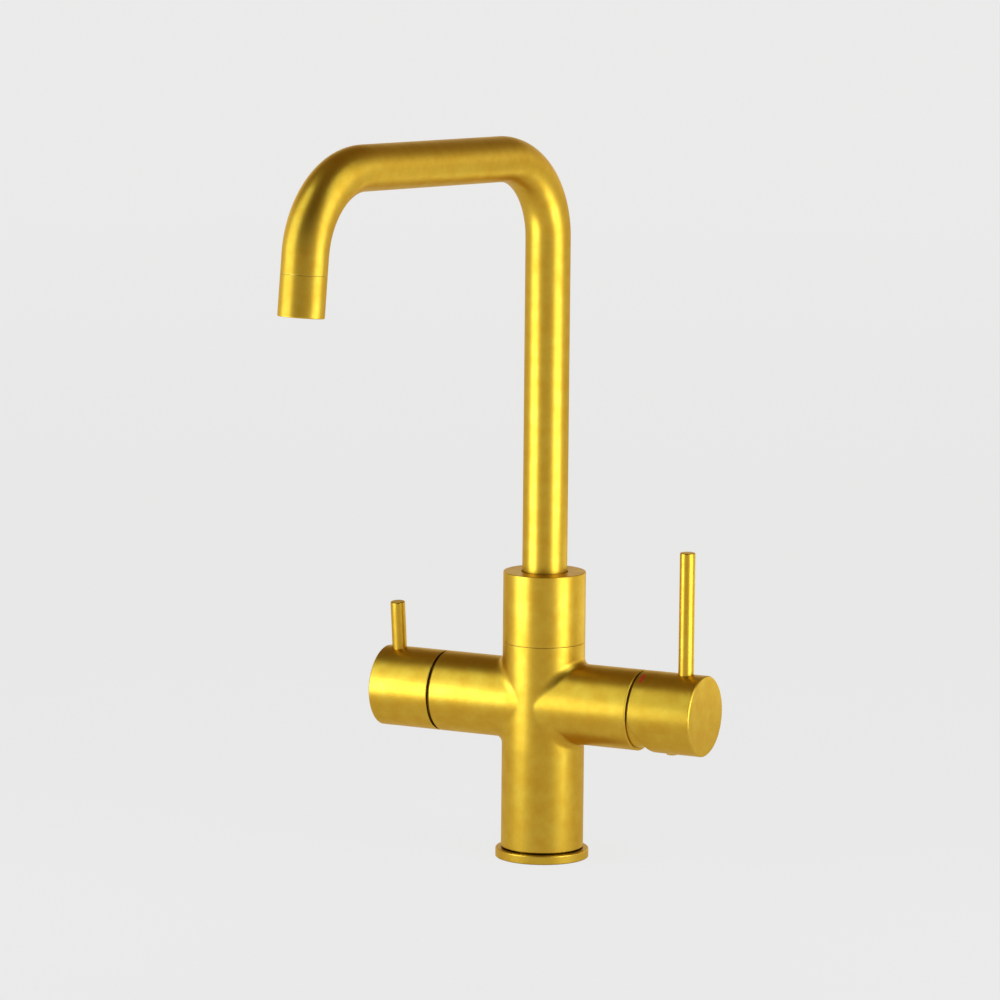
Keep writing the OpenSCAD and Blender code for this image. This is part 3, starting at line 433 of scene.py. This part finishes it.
def makeFloor(s):
    material, tree = newMaterial("paleStudioFloor")
    path = addNode(tree, "ShaderNodeLightPath")
    seen = path.outputs["Is Camera Ray"]
    for ray in ("Is Glossy Ray", "Is Transmission Ray"):
        either = addNode(tree, "ShaderNodeMath", {"operation": "ADD"}, {0: seen, 1: path.outputs[ray]})
        seen = either.outputs[0]
    # the lamps fade away from the object, and the glow makes up for it
    place = addNode(tree, "ShaderNodeTexCoord")
    distance = addNode(tree, "ShaderNodeVectorMath", {"operation": "LENGTH"}, {0: place.outputs["Object"]})
    evened = ramp(tree, distance.outputs["Value"], (s["glowFrom"], s["glowTo"]), s["floorGlow"], smooth=True)
    glow = addNode(tree, "ShaderNodeMath", {"operation": "MULTIPLY"}, {0: seen, 1: evened})
    lit = addNode(tree, "ShaderNodeBsdfDiffuse", None, {"Color": toLinear(s["floorColour"])})
    light = addNode(tree, "ShaderNodeEmission", None, {
        "Color": toLinear("#FFFFFF"), "Strength": glow.outputs[0]})
    both = addNode(tree, "ShaderNodeAddShader", None, {0: lit.outputs[0], 1: light.outputs[0]})
    addNode(tree, "ShaderNodeOutputMaterial", None, {"Surface": both.outputs[0]})
    half = s["floorSize"] / 2
    mesh = bpy.data.meshes.new("floor")
    corners = [(-half, -half, 0), (half, -half, 0), (half, half, 0), (-half, half, 0)]
    mesh.from_pydata(corners, [], [[0, 1, 2, 3]])
    mesh.materials.append(material)
    floor = bpy.data.objects.new("floor", mesh)
    bpy.context.scene.collection.objects.link(floor)
    return floor


def makeRoom(s):
    world = bpy.data.worlds.new("dimRoom")
    bpy.context.scene.world = world
    world.use_nodes = True
    tree = world.node_tree
    tree.nodes.clear()
    way = addNode(tree, "ShaderNodeTexCoord")
    parts = addNode(tree, "ShaderNodeSeparateXYZ", None, {"Vector": way.outputs["Generated"]})
    rise = ramp(tree, parts.outputs["Z"], s["riseSpan"], smooth=True)
    wall = blend(tree, rise, toLinear(s["horizon"]), toLinear(s["ceiling"]))
    level = ramp(tree, parts.outputs["Y"], s["levelSpan"], (s["frontLevel"], s["backLevel"]), smooth=True)
    sky = addNode(tree, "ShaderNodeBackground", None, {"Color": wall, "Strength": level})
    # beyond the floor's edge the camera sees the floor's own tone
    path = addNode(tree, "ShaderNodeLightPath")
    backdrop = addNode(tree, "ShaderNodeBackground", None, {"Color": toLinear(s["backdrop"])})
    seen = addNode(tree, "ShaderNodeMixShader", None, {
        0: path.outputs["Is Camera Ray"], 1: sky.outputs[0], 2: backdrop.outputs[0]})
    addNode(tree, "ShaderNodeOutputWorld", None, {"Surface": seen.outputs[0]})


def softBox(name, colour, azimuth, distance, height, width, tall, radiance):
    data = bpy.data.lights.new(name, "AREA")
    data.shape = "RECTANGLE"
    data.size, data.size_y = width, tall
    data.color = colour[:3]
    data.energy = radiance * math.pi * width * tall
    box = bpy.data.objects.new(name, data)
    a = math.radians(azimuth)
    place = Vector((math.sin(a) * distance, -math.cos(a) * distance, height))
    box.visible_camera = False
    aim = Vector((0, 0, height)) - place
    box.matrix_world = Matrix.Translation(place) @ aim.to_track_quat("-Z", "Y").to_matrix().to_4x4()
    bpy.context.scene.collection.objects.link(box)
    return box


floor = makeFloor(studio)
makeRoom(studio)
# the low boxes stand close and would leave pools of light on the floor; the tall ones cast the soft shadow
noPool = bpy.data.collections.new("notLitByLowBoxes")
noPool.objects.link(floor)
noPool.collection_objects[0].light_linking.link_state = "EXCLUDE"
lampColour = toLinear(studio["lampColour"])
for kind in ("tallBox", "lowBox"):
    for i, settings in enumerate(studio[kind]):
        box = softBox("%s%d" % (kind, i + 1), lampColour, *settings)
        if kind == "lowBox":
            box.light_linking.receiver_collection = noPool
bpy.context.scene.view_settings.view_transform = "Standard"
print("studio made")
